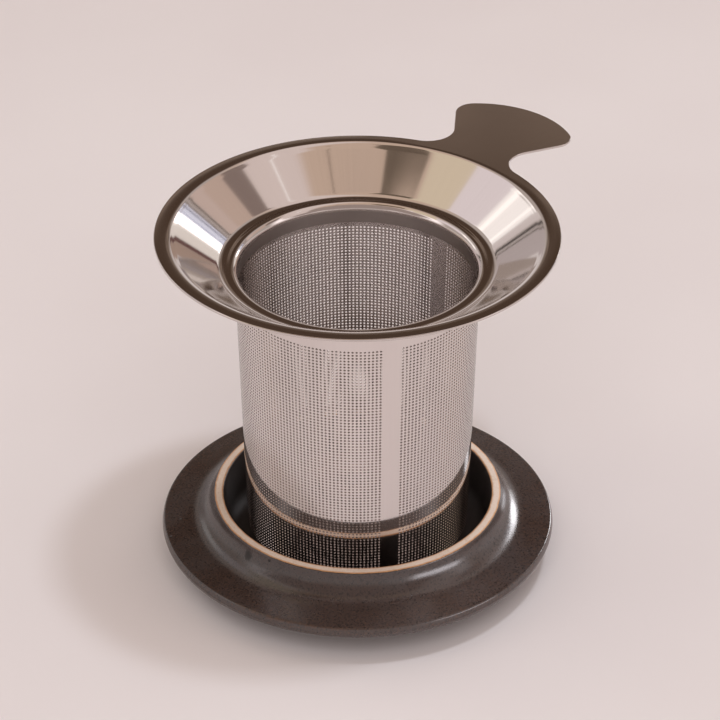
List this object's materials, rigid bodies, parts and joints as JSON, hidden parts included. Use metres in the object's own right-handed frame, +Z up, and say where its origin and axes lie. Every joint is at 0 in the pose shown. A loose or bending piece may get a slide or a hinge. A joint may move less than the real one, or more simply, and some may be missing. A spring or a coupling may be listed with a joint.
{
  "type": "tea infuser with lid",
  "caption": "Steel tea infuser with a fine perforated basket, a wide funnel rim and a thumb tab, standing in its upturned dark-glazed stoneware lid.",
  "frame": {"origin": "on the common axis of lid and infuser, in the plane of the table under the upturned lid", "axes": "+Z up along the axis, +X from the axis out along the infuser's tab"},
  "size_m": [0.1251, 0.0986, 0.0912],
  "materials": {
    "dark_glaze": "satin",
    "polished_steel": "polished",
    "perforated_steel": "polished"
  },
  "bodies": {
    "lid": {"lid": "dark_glaze"},
    "infuser": {"funnel": "polished_steel", "basket_wall": "perforated_steel", "basket_floor": "perforated_steel"}
  },
  "joints": [
    {"name": "infuser_lift", "type": "slide", "parent": "lid", "child": "infuser", "axis": [0, 0, 1], "range_m": [0, 0.04]}
  ]
}
